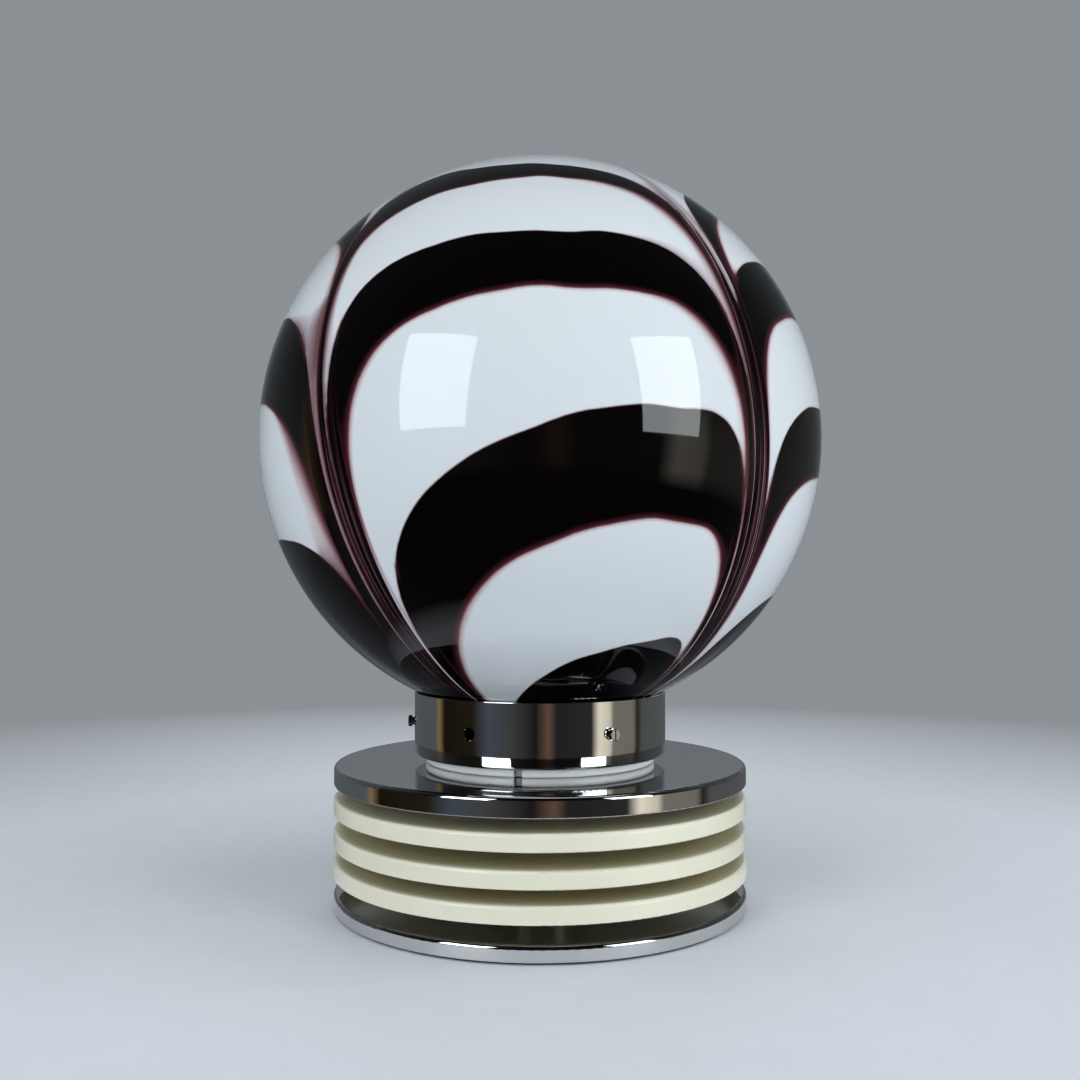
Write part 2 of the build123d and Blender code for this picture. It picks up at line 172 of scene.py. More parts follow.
def raise_surface(tree, shader, height, depth):
    """Bump from a height value between 0 and 1, with its depth in metres."""
    node = place(tree, "ShaderNodeBump", {"Height": height, "Distance": depth})
    tree.links.new(node.outputs["Normal"], shader.inputs["Normal"])


def felt_disc():
    """Flat disc with a rounded edge: the section runs from the lower middle out, round the edge by two
    quarter circles and back to the upper middle. Its radius wavers by two sine waves that beat."""
    radius, bottom, top = felt_high.x, felt_low.z, felt_high.z
    turn = np.linspace(0, pi / 2, felt_edge_rows)
    low_arc = np.stack((radius - felt_edge_round + felt_edge_round * np.sin(turn),
                        bottom + felt_edge_round - felt_edge_round * np.cos(turn)))
    high_arc = np.stack((low_arc[0, ::-1], top + bottom - low_arc[1, ::-1]))
    face = radius * np.linspace(0, 1, felt_face_rows + 2)[1:-1]
    lower = np.stack((face, np.full(felt_face_rows, bottom)))
    upper = np.stack((face[::-1], np.full(felt_face_rows, top)))
    reach, height = np.concatenate((lower, low_arc, high_arc, upper), axis=1)[..., None]
    angle = np.linspace(0, 2 * pi, felt_columns, endpoint=False)
    few, many = felt_waves
    waver = 1 - felt_unevenness / radius * (1 + np.sin(few * angle) * np.sin(many * angle + felt_wave_shift))
    return close_poles(round_axis(reach * waver, angle, height), bottom, top)


felt_material, tree, shader, where = finish("wool_felt", roughness=0.95, sheen_weight=0.4)
fluff = speckle(tree, where, fluff_size, fluff_detail)
tint(tree, shader, fluff, felt_colours)
raise_surface(tree, shader, fluff, fluff_depth)
put_piece("felt_pad", *felt_disc(), "base", "felt", felt_material, "base_felt")


# Base plate and top plate. Two round pans pressed from steel sheet, open below, polished and chrome plated.
# The chrome is clean, with a faint haze from polishing and a few hair scratches.
haze_size = 0.035
haze_detail = 6.0
haze_range = (0.35, 0.7)
dust_scale = 420.0
dust_range = (0.16, 0.06)
scratch_turn = (0.5, 0.3, 0.8)
scratch_stretch = (1, 22, 22)
scratch_size = 0.018
scratch_range = (0.66, 0.72)
full_range = (0.0, 1.0)
chrome_colours = [(0.0, (0.70, 0.70, 0.70)), (1.0, (0.63, 0.635, 0.64))]
chrome_roughness = (0.03, 0.07)
chrome_scratch_roughness = 0.05


def dress(material, *nodes):
    """Give CAD nodes their finish."""
    for node in nodes:
        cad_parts[node].material_slots[0].material = material


def reckon(tree, operation, *values):
    """Sum, product or the like of values or sockets."""
    return place(tree, "ShaderNodeMath", dict(enumerate(values)), operation=operation).outputs["Value"]


def spread(tree, value, low, high, to_low=0.0, to_high=1.0):
    """Map a value from one range to another, and hold it there."""
    node = place(tree, "ShaderNodeMapRange", {0: value, 1: low, 2: high, 3: to_low, 4: to_high})
    return node.outputs["Result"]


def handling_marks():
    """Group of the marks that use leaves, each from 0 to 1: a cloudy haze, specks of dust and hair scratches.
    Haze is coarse noise, dust is small cells, and scratches are peaks of noise that is stretched one way."""
    group = bpy.data.node_groups.new("handling_marks", "ShaderNodeTree")
    size = group.interface.new_socket("Size", in_out="INPUT", socket_type="NodeSocketFloat")
    size.default_value = 1.0
    for name in ("Haze", "Dust", "Scratches"):
        group.interface.new_socket(name, in_out="OUTPUT", socket_type="NodeSocketFloat")
    wanted = place(group, "NodeGroupInput").outputs["Size"]
    shaded = place(group, "ShaderNodeTexCoord").outputs["Object"]
    scaled = place(group, "ShaderNodeVectorMath", {0: shaded, "Scale": wanted}, operation="SCALE")
    spot = scaled.outputs["Vector"]
    haze = speckle(group, spot, haze_size, haze_detail)
    cells = place(group, "ShaderNodeTexVoronoi", {"Vector": spot, "Scale": dust_scale}).outputs["Distance"]
    drawn = place(group, "ShaderNodeMapping",
                  {"Vector": spot, "Rotation": scratch_turn, "Scale": scratch_stretch}).outputs["Vector"]
    hairs = speckle(group, drawn, scratch_size)
    place(group, "NodeGroupOutput", {"Haze": spread(group, haze, *haze_range),
                                     "Dust": spread(group, cells, *dust_range),
                                     "Scratches": spread(group, hairs, *scratch_range)})
    return group


marks_group = handling_marks()


def marks(tree, size):
    """Place the handling marks in a material."""
    return place(tree, "ShaderNodeGroup", {"Size": size}, node_tree=marks_group).outputs


chrome_material, tree, shader, _ = finish("chrome_plate", metallic=1.0)
chrome_marks = marks(tree, 1.0)
tint(tree, shader, chrome_marks["Haze"], chrome_colours)
chrome_polish = spread(tree, chrome_marks["Haze"], *full_range, *chrome_roughness)
chrome_worn = reckon(tree, "MULTIPLY_ADD", chrome_marks["Scratches"], chrome_scratch_roughness, chrome_polish)
tree.links.new(chrome_worn, shader.inputs["Roughness"])
dress(chrome_material, "base_plate", "top_plate")


# Ballast, washers, nuts and stem. Plain steel inside the stack: a turned ring as weight, and a zinc plated
# threaded tube that pulls the stack together between two nuts.
noise_range = (0.3, 0.7)
steel_colours = [(0.25, (0.20, 0.20, 0.21)), (0.75, (0.36, 0.36, 0.37))]
steel_blotch_size = 0.02
steel_roughness = (0.3, 0.5)
lathe_scale = 900.0
lathe_distortion = 0.6
lathe_depth = 0.00005
zinc_colours = [(0.3, (0.50, 0.51, 0.50)), (0.7, (0.62, 0.63, 0.64))]
zinc_scale = 700.0
zinc_roughness = (0.28, 0.42)
thread_pitch = 0.001
thread_depth = 0.0003
thread_roughness = (0.45, 0.3)
wave_radians = 20  # of a wave texture of scale 1, in one metre


def roughen(tree, shader, value, value_range, roughness):
    """Let a shader's roughness follow a value: it goes between two roughnesses over a range of the value."""
    tree.links.new(spread(tree, value, *value_range, *roughness), shader.inputs["Roughness"])


ballast_material, tree, shader, where = finish("turned_steel", metallic=1.0)
lathe_lines = place(tree, "ShaderNodeTexWave",
                    {"Vector": where, "Scale": lathe_scale, "Distortion": lathe_distortion},
                    wave_type="RINGS", rings_direction="Z").outputs["Fac"]
steel_blotch = speckle(tree, where, steel_blotch_size)
tint(tree, shader, steel_blotch, steel_colours)
roughen(tree, shader, steel_blotch, noise_range, steel_roughness)
raise_surface(tree, shader, lathe_lines, lathe_depth)
dress(ballast_material, "ballast")

zinc_material, tree, shader, where = finish("zinc_plate", metallic=1.0)
zinc_spangle = place(tree, "ShaderNodeTexVoronoi", {"Vector": where, "Scale": zinc_scale}).outputs["Color"]
zinc_grey = place(tree, "ShaderNodeRGBToBW", {"Color": zinc_spangle}).outputs["Val"]
tint(tree, shader, zinc_grey, zinc_colours)
roughen(tree, shader, zinc_grey, full_range, zinc_roughness)
dress(zinc_material, "base_washer", "base_nut", "top_washer", "top_nut", "screw_bushes", "terminal_screws")

thread_material, tree, shader, where = finish("zinc_thread", metallic=1.0)
thread_ridges = place(tree, "ShaderNodeTexWave",
                      {"Vector": where, "Scale": 2 * pi / (wave_radians * thread_pitch)},
                      bands_direction="Z").outputs["Fac"]
tint(tree, shader, thread_ridges, zinc_colours)
roughen(tree, shader, thread_ridges, full_range, thread_roughness)
raise_surface(tree, shader, thread_ridges, thread_depth)
dress(thread_material, "stem")


# Lower, middle and upper disc. Pans pressed like the plates, but lacquered cream all over.
# The lacquer is glossy with a slight orange peel and a little dusty. Inside the rim the cream is painted
# darker and yellower, as painted shade for the gaps between the pans.
cream_colours = [(0.0, (0.785, 0.750, 0.605)), (1.0, (0.745, 0.705, 0.560))]
cream_roughness = (0.32, 0.6)
# Painted shade: the darker olive cream that the lacquer turns to inside the rim.
painted_shade_cream = (0.57, 0.52, 0.31)
painted_shade_start = 0.0015
painted_shade_full = 0.006
disc_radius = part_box("upper_disc")[1].x
peel_size = 0.0016
peel_detail = 2.0
peel_depth = 0.00002


def blend(tree, share, first, second):
    """Colour that goes from the first to the second as share goes from 0 to 1."""
    node = place(tree, "ShaderNodeMix", {0: share, 6: first, 7: second}, data_type="RGBA")
    return node.outputs[2]


cream_material, tree, shader, where = finish("cream_lacquer", coat_weight=0.35, coat_roughness=0.12)
cream_marks = marks(tree, 1.0)
cream_tone = colour_steps(tree, cream_marks["Haze"], cream_colours)
flat_place = place(tree, "ShaderNodeVectorMath", {0: where, 1: (1, 1, 0)}, operation="MULTIPLY")
off_axis = place(tree, "ShaderNodeVectorMath", {0: flat_place.outputs["Vector"]},
                 operation="LENGTH").outputs["Value"]
# Painted shade: from just inside each pan's rim inwards the cream darkens to olive, for the shade in the
# gaps.
painted_shade = spread(tree, off_axis, disc_radius - painted_shade_start, disc_radius - painted_shade_full)
tree.links.new(blend(tree, painted_shade, cream_tone, (*painted_shade_cream, 1)), shader.inputs["Base Color"])
roughen(tree, shader, cream_marks["Dust"], full_range, cream_roughness)
raise_surface(tree, shader, speckle(tree, where, peel_size, peel_detail), peel_depth)
dress(cream_material, "lower_disc", "middle_disc", "upper_disc")


# Spacer drums. Turned aluminium, one between each pan and the next, and one under the collar.
# Lathe marks run round them.
drum_colours = [(0.2, (0.50, 0.50, 0.51)), (0.8, (0.66, 0.66, 0.67))]
drum_roughness = (0.25, 0.4)
drum_line_scale = 250.0
drum_line_distortion = 1.0
drum_line_depth = 0.00008

drum_material, tree, shader, where = finish("turned_aluminium", metallic=1.0)
drum_lines = place(tree, "ShaderNodeTexWave",
                   {"Vector": where, "Scale": drum_line_scale, "Distortion": drum_line_distortion},
                   bands_direction="Z").outputs["Fac"]
tint(tree, shader, drum_lines, drum_colours)
roughen(tree, shader, drum_lines, full_range, drum_roughness)
raise_surface(tree, shader, drum_lines, drum_line_depth)
dress(drum_material, "base_spacer", "lower_spacer", "middle_spacer", "upper_spacer", "collar_spacer")


# Cable bush, neck gasket and screw pads. Black rubber: a flanged bush at the back of the lowest drum,
# the seat of the globe's neck and the soft caps of the screws. Matt, with a moulded grain.
rubber_colours = [(0.3, (0.010, 0.010, 0.010)), (0.7, (0.026, 0.025, 0.024))]
rubber_grain_size = 0.0008
rubber_grain_depth = 0.0001

rubber_material, tree, shader, where = finish("soft_rubber", roughness=0.75)
rubber_grain = speckle(tree, where, rubber_grain_size)
tint(tree, shader, rubber_grain, rubber_colours)
raise_surface(tree, shader, rubber_grain, rubber_grain_depth)
dress(rubber_material, "cable_bush", "neck_gasket", "screw_pad_1", "screw_pad_2", "screw_pad_3")


# Trim ring. A moulded white ring between the top plate and the collar, slit so that it springs into place,
# with a strip of steel behind the slit. The plastic has aged a little warmer in patches.
trim_colours = [(0.3, (0.92, 0.92, 0.90)), (0.75, (0.88, 0.875, 0.85))]
trim_roughness = (0.3, 0.55)
trim_marks_size = 1.5
trim_patch_size = 0.025
trim_grain_size = 0.0025
trim_grain_depth = 0.00003

trim_material, tree, shader, where = finish("white_plastic", subsurface_weight=0.05)
trim_marks = marks(tree, trim_marks_size)
tint(tree, shader, speckle(tree, where, trim_patch_size), trim_colours)
roughen(tree, shader, trim_marks["Dust"], full_range, trim_roughness)
raise_surface(tree, shader, speckle(tree, where, trim_grain_size), trim_grain_depth)
dress(trim_material, "trim_ring")
dress(ballast_material, "ring_splice")


# Collar and globe screws. The collar is a spun steel cup with three vents, chrome plated like the plates.
# Three slotted screws go through it into threaded bushes and hold the neck of the globe.
dress(chrome_material, "collar", "globe_screw_1", "globe_screw_2", "globe_screw_3")


# Earth tag. Brass, stamped from strip, under the top nut. It has dulled brown in places.
# The sleeve and the contact of the lampholder are of the same brass.
brass_colours = [(0.3, (0.62, 0.44, 0.19)), (0.75, (0.44, 0.29, 0.12))]
brass_range = (0.3, 0.8)
brass_roughness = (0.25, 0.5)
tarnish_size = 0.006
tarnish_detail = 6.0

brass_material, tree, shader, where = finish("dull_brass", metallic=1.0)
brass_tarnish = speckle(tree, where, tarnish_size, tarnish_detail)
tint(tree, shader, brass_tarnish, brass_colours)
roughen(tree, shader, brass_tarnish, brass_range, brass_roughness)
dress(brass_material, "earth_tag", "holder_sleeve", "holder_contact")


# Lampholder. A moulded cap and body in black plastic, screwed on the stem, round a steatite core.
# The plastic has dulled in patches, and the core shows the grain of fired clay.
holder_colours = [(0.3, (0.040, 0.039, 0.038)), (0.7, (0.058, 0.055, 0.052))]
holder_roughness = (0.22, 0.36)
holder_patch_size = 0.012
holder_grain_size = 0.001
holder_grain_depth = 0.00003
steatite_colours = [(0.3, (0.66, 0.63, 0.57)), (0.7, (0.54, 0.50, 0.44))]
steatite_grain_size = 0.0015
steatite_grain_detail = 6.0
steatite_grain_depth = 0.0001

holder_material, tree, shader, where = finish("black_plastic")
holder_tone = speckle(tree, where, holder_patch_size)
tint(tree, shader, holder_tone, holder_colours)
roughen(tree, shader, holder_tone, noise_range, holder_roughness)
raise_surface(tree, shader, speckle(tree, where, holder_grain_size), holder_grain_depth)
dress(holder_material, "holder_cap", "holder_body")

steatite_material, tree, shader, where = finish("steatite", roughness=0.7)
steatite_grain = speckle(tree, where, steatite_grain_size, steatite_grain_detail)
tint(tree, shader, steatite_grain, steatite_colours)
raise_surface(tree, shader, steatite_grain, steatite_grain_depth)
dress(steatite_material, "holder_core")


# Bulb. Screw cap rolled from aluminium, a black glass insulator with a brass contact, and a frosted glass
# envelope. The cap's thread is a round wave that climbs one pitch in each turn.
cap_low, cap_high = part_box("bulb_cap")
cap_sheet = 0.0004
cap_crest = 0.0131
cap_eye = 0.0100
cap_lip = 0.0010
cap_pitch = 0.00363
cap_thread = 0.0009
cap_wall_inset = 0.0006
cap_wall_rows = 64
cap_columns = 96
cap_colours = [(0.3, (0.72, 0.72, 0.73)), (0.7, (0.60, 0.60, 0.61))]
cap_patch_size = 0.008
cap_roughness = (0.22, 0.38)
insulator_colours = [(0.3, (0.008, 0.008, 0.012)), (0.7, (0.02, 0.02, 0.028))]
insulator_patch_size = 0.003
frost_colours = [(0.3, (0.86, 0.86, 0.85)), (0.7, (0.78, 0.78, 0.77))]
frost_grain_size = 0.0007
frost_roughness = (0.4, 0.55)


def threaded_cap():
    """Thin shell round the axis. Its section goes from the eye out along the floor, up the wall, out to the
    lip and back inside, a sheet's thickness away. The wall's radius is a cosine of height over pitch less
    the turn."""
    turn = np.linspace(0, 2 * pi, cap_columns, endpoint=False)
    wall = np.linspace(cap_low.z + cap_wall_inset, cap_high.z - cap_lip - cap_wall_inset, cap_wall_rows)
    outer_reach = np.concatenate(([cap_eye, cap_crest - cap_thread], np.full(cap_wall_rows, cap_crest),
                                  [cap_high.x, cap_high.x]))
    outer_height = np.concatenate(([cap_low.z, cap_low.z], wall, [cap_high.z - cap_lip, cap_high.z]))
    reach = np.concatenate((outer_reach, outer_reach[::-1] - cap_sheet))[:, None]
    floor_lift = np.where(outer_height > cap_low.z, 0, cap_sheet)
    height = np.concatenate((outer_height, (outer_height + floor_lift)[::-1]))[:, None]
    on_wall = np.tile(np.pad(np.ones(cap_wall_rows), 2), 2)[:, None]
    wave = on_wall * cap_thread * 0.5 * (1 - np.cos(2 * pi * height / cap_pitch - turn))
    points = round_axis(reach - wave, turn, height)
    return points, [grid_faces(*points.shape[:2], True)]


cap_material, tree, shader, where = finish("rolled_aluminium", metallic=1.0)
cap_tone = speckle(tree, where, cap_patch_size)
tint(tree, shader, cap_tone, cap_colours)
roughen(tree, shader, cap_tone, noise_range, cap_roughness)
put_piece("bulb_screw_cap", *threaded_cap(), "bulb", "bulb_aluminium", cap_material, "bulb_cap")
dress(brass_material, "bulb_contact")

insulator_material, tree, shader, where = finish("black_glass", roughness=0.12)
tint(tree, shader, speckle(tree, where, insulator_patch_size), insulator_colours)
dress(insulator_material, "bulb_insulator")

frosted_material, tree, shader, where = finish("frosted_glass", transmission_weight=0.35)
frost = speckle(tree, where, frost_grain_size)
tint(tree, shader, frost, frost_colours)
roughen(tree, shader, frost, noise_range, frost_roughness)
dress(frosted_material, "bulb_glass")


# Globe. Blown opal glass with a straight neck. Dark amethyst threads were wound round the hot glass and
# combed down along four lines, which pulls every band into festoons. A wine-coloured bleed follows their
# lower edges.
globe_low, globe_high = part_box("globe")
globe_radius = globe_high.x
globe_middle = globe_high.z - globe_radius
degree_reach = radians(1000 * globe_radius)  # millimetres along the sphere in one degree
glass_wall = 0.003
neck_radius = 0.058
neck_fillet = 0.005
neck_fillet_gap = 0.001
neck_rim_round = 0.0012
outer_rows = (150, 7)
inner_rows = (30, 4)
neck_rows = 5
rim_rows = 5
globe_column_count = 440
column_crowding = 4.5
column_crowding_reach = 9
fine_turn_count = 7201

# The comb and its bands. Turns and latitudes are in degrees, reaches and depths in millimetres.
comb_turns = (-41, 41, 139, 221)
comb_twist = 0.135
comb_power = 4
band_waver = 0.35
band_waves = ((1.0, 0.21, 1.7), (0.5, 0.47, 1.0))
back_raise = 1
share_margin = 1e-9
no_band = -400.0
slope_step = 0.02
steepest_slope = 60
least_cosine = 0.2
rope_reach = 2.6
rope_latitudes = (-67, -45, -10, 20, 45, 62, 75)
rope_shares = (0.9, 1.0, 0.9, 0.4, 0.0, -1.2, -3.0)
melting = 0.6
power_limit = 60
white_depth = -50.0
bleed_reach = 3.5
bleed_margin = -1.0
comb_smear = 1.5
comb_smear_reach = 13.0
veil_reach = 36.0
veil_latitudes = (-5, 18, 45, 55)
veil_smears = (0.0, 7.0, 7.0, 0.0)
left_veil_latitudes = (4, 9, 16, 22)
left_veil_smears = (0.0, 30.0, 30.0, 1.0)
streak_reach = 6.0
streak_latitudes = (6, 18, 55, 72)
streak_smears = (0.0, 14.0, 14.0, 0.0)
smudge_latitudes = (16, 22)
smudge_runs = (12.0, 2.0)
front_run = 1.0
right_run = 0.5
run_slope = 0.5
run_slope_rise = 0.8

# The colours of the glass, and how they follow the depth in the bands and the way to the comb lines.
edge_wobble = 0.35
wobble_size = 0.012
wobble_detail = 3.0
edge_window = 5.0
strand_side = 20
strand_span = 250.0
strand_waves = 4.0
strand_scale = 0.48
strand_detail = 2.0
rope_fade = (10.0, 3.0)
rope_depth = (0.0, 1.4)
globe_roughness = (0.02, 0.06)
opal_white = (0.655, 0.680, 0.700)
amethyst = (0.0015, 0.0010, 0.0012)
wine = (0.048, 0.010, 0.014)
lilac = (0.46, 0.40, 0.44)
rose = (0.50, 0.37, 0.39)
dark_rose = (0.055, 0.016, 0.022)
crisp_colours = [(0.43, opal_white), (0.48, lilac), (0.515, wine), (0.56, amethyst)]
bled_colours = [(0.30, opal_white), (0.43, rose), (0.50, (0.10, 0.030, 0.036)), (0.58, wine),
                (0.78, amethyst)]
rope_colours = [(0.48, amethyst), (0.55, (0.014, 0.005, 0.007)), (0.61, dark_rose),
                (0.67, (0.085, 0.045, 0.052)), (0.73, (0.16, 0.12, 0.135))]

# Edges of the dark bands, upper and lower, in degrees: the top of the arch (turn, latitude), the turns of
# the comb lines that it falls to on its left and right, and on each side how far it sags and how strongly
# it is pulled.
front_bands = [((-8, 55.8), (-40.9, 40.4), (0, 5), (2, 5)), ((10, 48.4), (-40.5, 39.8), (8, 5), (4, 7)),
               ((12, 31.5), (-39.9, 39.4), (4, 9), (3, 8)), ((12, 19.6), (-37.3, 37.9), (7, 10), (3, 9)),
               ((24, -0.3), (-36.4, 37.5), (21, 6), (2, 6)), ((20, -19.3), (-33.0, 36.3), (22, 9), (1, 8)),
               ((27, -43.3), (-31.0, 35.8), (29, 5), (1, 5)), ((27, -66.0), (-28.0, 35.2), (29, 5), (1, 5))]
right_bands = [((88, 55.5), (42.8, 137.5), (6, 6), (5, 6)), ((88, 48.0), (43.4, 136.5), (8, 7), (4, 6)),
               ((88, 34.5), (41.4, 136.0), (5, 4), (4, 7)), ((88, 22.0), (42.4, 135.0), (2, 8), (5, 8)),
               ((88, 4.8), (42.8, 134.5), (2, 8), (5, 8)), ((88, -8.5), (44.2, 133.5), (1, 9), (6, 8)),
               ((88, -32.5), (45.2, 132.5), (4, 8), (6, 8)), ((88, -51.0), (48.5, 131.5), (4, 6), (6, 8))]
left_bands = [((-90, 53.0), (-137.5, -41.1), (6, 6), (4, 5)), ((-90, 43.3), (-136.5, -41.6), (6, 6), (7, 3)),
              ((-90, 23.0), (-136.0, -42.8), (6, 8), (2, 7)), ((-90, 6.0), (-135.0, -46.0), (6, 8), (2, 9)),
              ((-90, -21.3), (-134.0, -45.5), (6, 8), (0, 6)),
              ((-90, -64.0), (-133.0, -47.5), (6, 8), (0, 8))]
back_bands = [((top_turn + 180, top + back_raise), (left + 180, right + 180), *pulls)
              for (top_turn, top), (left, right), *pulls in front_bands]


def arch(turn, edge):
    """Latitude of one edge of a band at each turn. From the top of its arch it falls by sag times the square
    of the share of the way to the comb line, and by pull times the logarithm of what is left of that share's
    power, so it runs down along the comb line and never crosses it."""
    (top_turn, top), (left, right), (left_sag, left_pull), (right_sag, right_pull) = edge
    on_left = turn < top_turn
    share = np.where(on_left, (top_turn - turn) / (top_turn - left), (turn - top_turn) / (right - top_turn))
    inside = np.clip(share, 0, 1 - share_margin)
    fall = np.where(on_left, left_sag, right_sag) * inside ** 2
    fall -= np.where(on_left, left_pull, right_pull) * np.log1p(-inside ** comb_power)
    waver = band_waver * sum(size * np.sin(turn_rate * turn + top_rate * top)
                             for size, turn_rate, top_rate in band_waves)
    return np.where(share < 1, top - fall + waver * (1 - inside), no_band)


def reach_of(turn, latitude, edge):
    """Distance in millimetres from each point up to an edge, which is the difference in latitude along the
    sphere divided by the root of one plus the square of the edge's slope there, and that slope."""
    slope = (arch(turn + slope_step, edge) - arch(turn - slope_step, edge)) / (2 * slope_step)
    slope = np.clip(slope, -steepest_slope, steepest_slope)
    slope = slope / np.maximum(np.cos(np.radians(latitude)), least_cosine)
    return (arch(turn, edge) - latitude) * degree_reach / np.sqrt(1 + slope ** 2), np.abs(slope)


def melt(depth):
    """Power of a depth, which is what melts together when it is summed."""
    return np.exp(np.clip(melting * depth, -power_limit, power_limit))


def comb_pattern(turn, latitude, side):
    """Depth inside the dark glass in millimetres, less than zero in the white, how near a lower edge is, from
    0 to 1, and how many times wider the comb has smeared each edge. The bands and the ropes along the comb
    lines melt together: their depth is the logarithm of the sum of the powers of each one's depth."""
    across = np.abs(side)
    melted = melt(rope_reach * np.interp(latitude, rope_latitudes, rope_shares) - across)
    bleed = np.zeros(turn.shape)
    # The comb drags dark glass thinly into the white: a wide veil on each line's left, a streak on its right.
    veil = np.where(turn > comb_turns[-1], np.interp(latitude, left_veil_latitudes, left_veil_smears),
                    np.interp(latitude, veil_latitudes, veil_smears)) * (side < 0)
    streak = np.where(side > 0, np.interp(latitude, streak_latitudes, streak_smears), 0)
    smear = 1 + comb_smear * np.exp(-(across / comb_smear_reach) ** 2)
    smear += veil * np.exp(-(across / veil_reach) ** 4) + streak * np.exp(-(across / streak_reach) ** 4)
    # A bleed runs wider where its edge falls steeply, by an amount that differs between the groups of bands.
    smudge = np.interp(latitude, smudge_latitudes, smudge_runs)
    for bands, run in ((front_bands, front_run), (right_bands, right_run), (left_bands, smudge),
                       (back_bands, front_run)):
        for upper, lower in zip(bands[::2], bands[1::2]):
            for whole_turn in (-360, 0):  # because some bands lie at turns below zero
                below_upper, _ = reach_of(turn + whole_turn, latitude, upper)
                below_lower, slope = reach_of(turn + whole_turn, latitude, lower)
                melted += melt(np.minimum(below_upper, -below_lower))
                stretch = 1 + run * np.clip((slope - run_slope) / run_slope_rise, 0, 1)
                near = np.exp(-(below_lower / (bleed_reach * stretch)) ** 2) * (below_upper > bleed_margin)
                bleed = np.maximum(bleed, near)
                smear = np.maximum(smear, 1 + (stretch - 1) * near)
    return np.maximum(np.log(melted) / melting, white_depth), bleed, smear


def past_comb(turn, comb):
    """Degrees from a comb line to each turn, less than zero on the line's left."""
    return (turn - comb + 180) % 360 - 180


def globe_columns():
    """Turns of the grid's columns, closest together near the comb lines: even steps of the summed density."""
    fine = np.linspace(0, 360, fine_turn_count)
    nearest = np.min([np.abs(past_comb(fine, comb)) for comb in comb_turns], axis=0)
    total = np.cumsum(1 + column_crowding * np.exp(-(nearest / column_crowding_reach) ** 2))
    return np.interp(np.linspace(total[0], total[-1], globe_column_count, endpoint=False), total, fine)


def globe_section():
    """Section of the glass as (radius, height, latitude): down the inner wall, round the rim and up the outer
    wall. Each wall is an arc of the sphere, a fillet with its middle outside the neck, and the straight neck.
    Returns it and the number of its points before the outer rim."""
    fillet_reach = neck_radius + neck_fillet
    meet = np.degrees(np.arccos(fillet_reach / (globe_radius + neck_fillet)))
    fillet_height = globe_middle - np.sqrt((globe_radius + neck_fillet) ** 2 - fillet_reach ** 2)
    walls = []
    for sink, (sphere_rows, fillet_rows) in ((0.0, outer_rows), (glass_wall, inner_rows)):
        latitude = np.linspace(-meet, 90, sphere_rows + 1)[:-1]
        arc = np.radians(latitude)
        sphere = np.stack(((globe_radius - sink) * np.cos(arc),
                           globe_middle + (globe_radius - sink) * np.sin(arc), latitude))
        turn = np.radians(np.linspace(180, 180 - meet, fillet_rows + 1)[:-1])
        bend = np.stack((fillet_reach + (neck_fillet + sink) * np.cos(turn),
                         fillet_height + (neck_fillet + sink) * np.sin(turn), np.full(fillet_rows, -meet)))
        neck_heights = np.linspace(globe_low.z + 2 * neck_rim_round, fillet_height - neck_fillet_gap,
                                   neck_rows)
        neck = np.stack((np.full(neck_rows, neck_radius - sink), neck_heights, np.full(neck_rows, -meet)))
        walls.append(np.concatenate((neck, bend, sphere), axis=1))
    turn = np.linspace(0, pi / 2, rim_rows)
    outer_rim = np.stack((neck_radius - neck_rim_round * (1 - np.sin(turn)),
                          globe_low.z + neck_rim_round * (1 - np.cos(turn)), np.full(rim_rows, -meet)))
    inner_rim = np.stack((2 * neck_radius - glass_wall - outer_rim[0, ::-1], outer_rim[1, ::-1],
                          outer_rim[2]))
    outer, inner = walls
    return np.concatenate((inner[:, ::-1], inner_rim, outer_rim, outer), axis=1), inner.shape[1] + rim_rows


def blown_globe():
    """Section turned round the axis. A point at one column's turn stands at that turn less the twist times
    its latitude, so that the grid's columns run along the twisted comb lines. One point closes each wall's
    pole."""
    (reach, height, latitude), outside = globe_section()
    turn, latitude = np.meshgrid(globe_columns(), latitude)
    angle = np.radians(turn - comb_twist * latitude)
    rings = round_axis(reach[:, None], angle, height[:, None])
    sides = np.stack([past_comb(turn, comb) for comb in comb_turns])
    nearest = np.take_along_axis(sides, np.abs(sides).argmin(axis=0)[None], axis=0)[0]
    side = degree_reach * nearest * np.cos(np.radians(latitude))
    depth, bleed, smear = comb_pattern(turn, latitude, side)
    depth[:outside] = white_depth
    along = degree_reach * latitude
    values = (depth, bleed, smear, np.abs(side), np.clip(side, -strand_side, strand_side), along)
    return *close_poles(rings, globe_high.z - glass_wall, globe_high.z), values


globe_points, globe_faces, globe_values = blown_globe()
globe_attributes = ("band_depth", "bleed", "smear", "comb_across", "comb_side", "comb_along")
opal_material, tree, shader, where = finish("opal_glass")
depth, bleed, smear, across, side, along = (
    place(tree, "ShaderNodeAttribute", attribute_name=name).outputs["Fac"] for name in globe_attributes)
wobble = spread(tree, speckle(tree, where, wobble_size, wobble_detail),
                *full_range, -edge_wobble, edge_wobble)
edge_depth = reckon(tree, "ADD", depth, wobble)
smeared_white = reckon(tree, "DIVIDE", reckon(tree, "MINIMUM", edge_depth, 0.0), smear)
smeared_depth = reckon(tree, "ADD", smeared_white, reckon(tree, "MAXIMUM", edge_depth, 0.0))
depth_share = spread(tree, smeared_depth, -edge_window, edge_window)
crisp = colour_steps(tree, depth_share, crisp_colours)
bled = colour_steps(tree, depth_share, bled_colours)
banded = blend(tree, bleed, crisp, bled)
strand_along = spread(tree, along, -strand_span, strand_span, -strand_waves, strand_waves)
